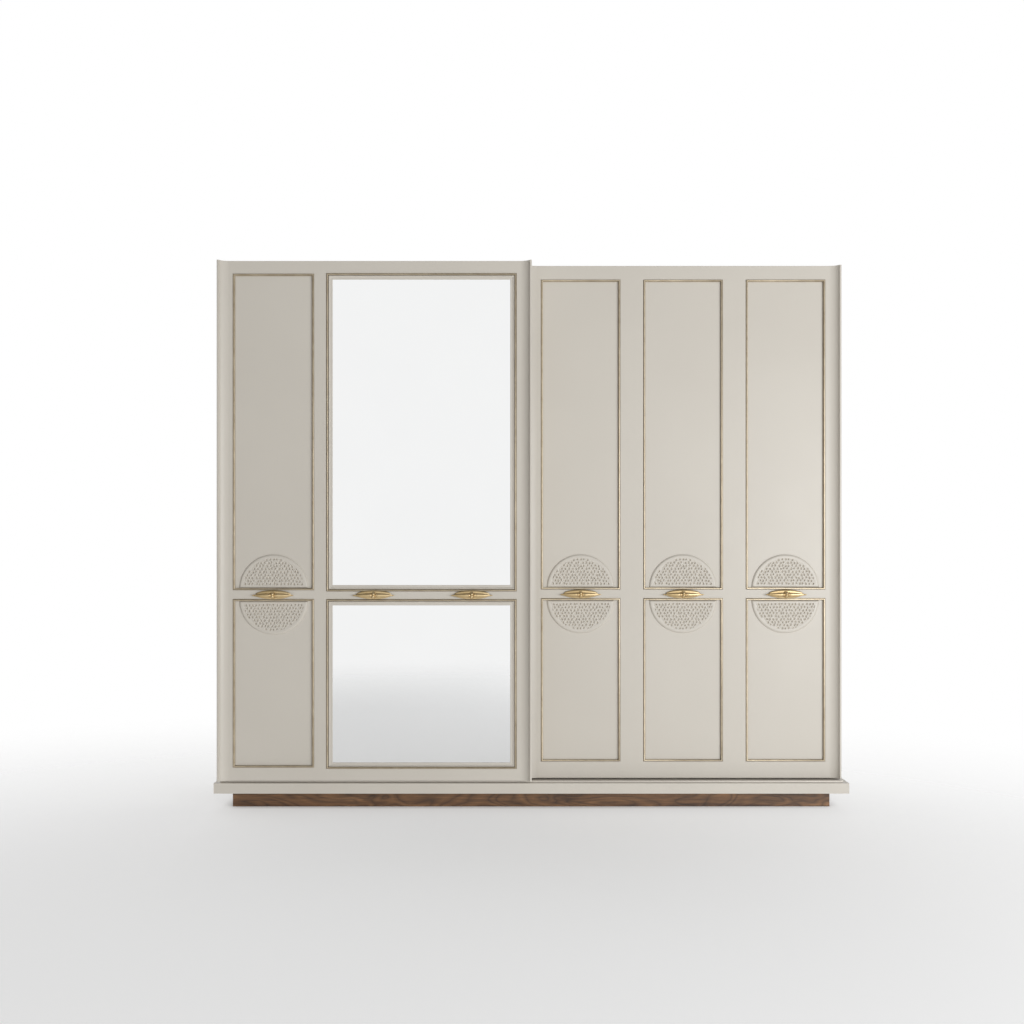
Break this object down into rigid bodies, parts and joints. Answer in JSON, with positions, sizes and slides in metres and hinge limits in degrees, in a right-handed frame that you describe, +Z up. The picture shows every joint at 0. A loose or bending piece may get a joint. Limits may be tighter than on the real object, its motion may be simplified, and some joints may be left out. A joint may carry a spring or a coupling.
{
  "type": "sliding-door armoire",
  "caption": "Two-door sliding armoire with panelled and mirrored doors, gilt trims, coved edge pulls and a recessed walnut plinth.",
  "frame": {"origin": "centre of the overall footprint at floor level", "axes": "+X to the right as seen from the front, -Y out of the doors, +Z up"},
  "size_m": [2.55, 0.7, 2.207],
  "materials": {
    "cream_lacquer": "satin cream lacquer on board",
    "board_laminate": "matt laminated board inside the carcass",
    "walnut": "satin walnut veneer with long grain",
    "gilt_brass": "soft satin antique gold",
    "mirror": "clear silvered glass",
    "aluminium": "satin anodised",
    "steel": "zinc-plated pressed steel",
    "nylon": "matt moulded nylon"
  },
  "bodies": {
    "carcass": {"back_panel_left": "board_laminate", "back_panel_right": "board_laminate", "base_board": "cream_lacquer", "bottom_track": "aluminium", "center_partition": "board_laminate", "hanging_rod_left": "aluminium", "hanging_rod_right": "aluminium", "hat_shelf_left": "board_laminate", "hat_shelf_right": "board_laminate", "plinth_back": "walnut", "plinth_center": "walnut", "plinth_front": "walnut", "plinth_left": "walnut", "plinth_right": "walnut", "shelf_divider": "board_laminate", "shelf_lower": "board_laminate", "shelf_middle": "board_laminate", "shelf_upper": "board_laminate", "side_panel_left": "cream_lacquer", "side_panel_right": "cream_lacquer", "top_panel": "cream_lacquer", "top_track": "aluminium"},
    "front_door": {"front_door_core": "cream_lacquer", "front_door_frame": "cream_lacquer", "front_door_guide_left": "nylon", "front_door_guide_right": "nylon", "front_door_handle_1": "gilt_brass", "front_door_handle_2": "gilt_brass", "front_door_handle_3": "gilt_brass", "front_door_hanger_left": "steel", "front_door_hanger_right": "steel", "front_door_mirror_lower": "mirror", "front_door_mirror_upper": "mirror", "front_door_moulding_lower": "cream_lacquer", "front_door_moulding_upper": "cream_lacquer", "front_door_panel_trim_lower": "gilt_brass", "front_door_panel_trim_upper": "gilt_brass", "front_door_pull_left": "cream_lacquer", "front_door_pull_right": "cream_lacquer"},
    "rear_door": {"rear_door_core": "cream_lacquer", "rear_door_frame": "cream_lacquer", "rear_door_guide_left": "nylon", "rear_door_guide_right": "nylon", "rear_door_handle_1": "gilt_brass", "rear_door_handle_2": "gilt_brass", "rear_door_handle_3": "gilt_brass", "rear_door_hanger_left": "steel", "rear_door_hanger_right": "steel", "rear_door_panel_1_trim_lower": "gilt_brass", "rear_door_panel_1_trim_upper": "gilt_brass", "rear_door_panel_2_trim_lower": "gilt_brass", "rear_door_panel_2_trim_upper": "gilt_brass", "rear_door_panel_3_trim_lower": "gilt_brass", "rear_door_panel_3_trim_upper": "gilt_brass", "rear_door_pull_left": "cream_lacquer", "rear_door_pull_right": "cream_lacquer"},
    "front_roller_left": {"front_door_roller_left": "nylon"},
    "front_roller_right": {"front_door_roller_right": "nylon"},
    "rear_roller_left": {"rear_door_roller_left": "nylon"},
    "rear_roller_right": {"rear_door_roller_right": "nylon"}
  },
  "joints": [
    {"name": "front_door_slide", "type": "slide", "parent": "carcass", "child": "front_door", "axis": [1, 0, 0], "range_m": [0, 1.254]},
    {"name": "rear_door_slide", "type": "slide", "parent": "carcass", "child": "rear_door", "axis": [-1, 0, 0], "range_m": [0, 1.23]},
    {"name": "front_roller_left_spin", "type": "hinge", "parent": "front_door", "child": "front_roller_left", "pos_m": [-1.105, -0.145, 2.1763], "axis": [0, 1, 0], "range_deg": [0, 5140]},
    {"name": "front_roller_right_spin", "type": "hinge", "parent": "front_door", "child": "front_roller_right", "pos_m": [-0.149, -0.145, 2.1763], "axis": [0, 1, 0], "range_deg": [0, 5140]},
    {"name": "rear_roller_left_spin", "type": "hinge", "parent": "rear_door", "child": "rear_roller_left", "pos_m": [0.128, -0.18, 2.1763], "axis": [0, 1, 0], "range_deg": [-5040, 0]},
    {"name": "rear_roller_right_spin", "type": "hinge", "parent": "rear_door", "child": "rear_roller_right", "pos_m": [1.108, -0.18, 2.1763], "axis": [0, 1, 0], "range_deg": [-5040, 0]}
  ],
  "couplings": [
    {"joint": "front_roller_left_spin", "follows": "front_door_slide", "rad_per_m": 71.429},
    {"joint": "front_roller_right_spin", "follows": "front_door_slide", "rad_per_m": 71.429},
    {"joint": "rear_roller_left_spin", "follows": "rear_door_slide", "rad_per_m": -71.429},
    {"joint": "rear_roller_right_spin", "follows": "rear_door_slide", "rad_per_m": -71.429}
  ]
}
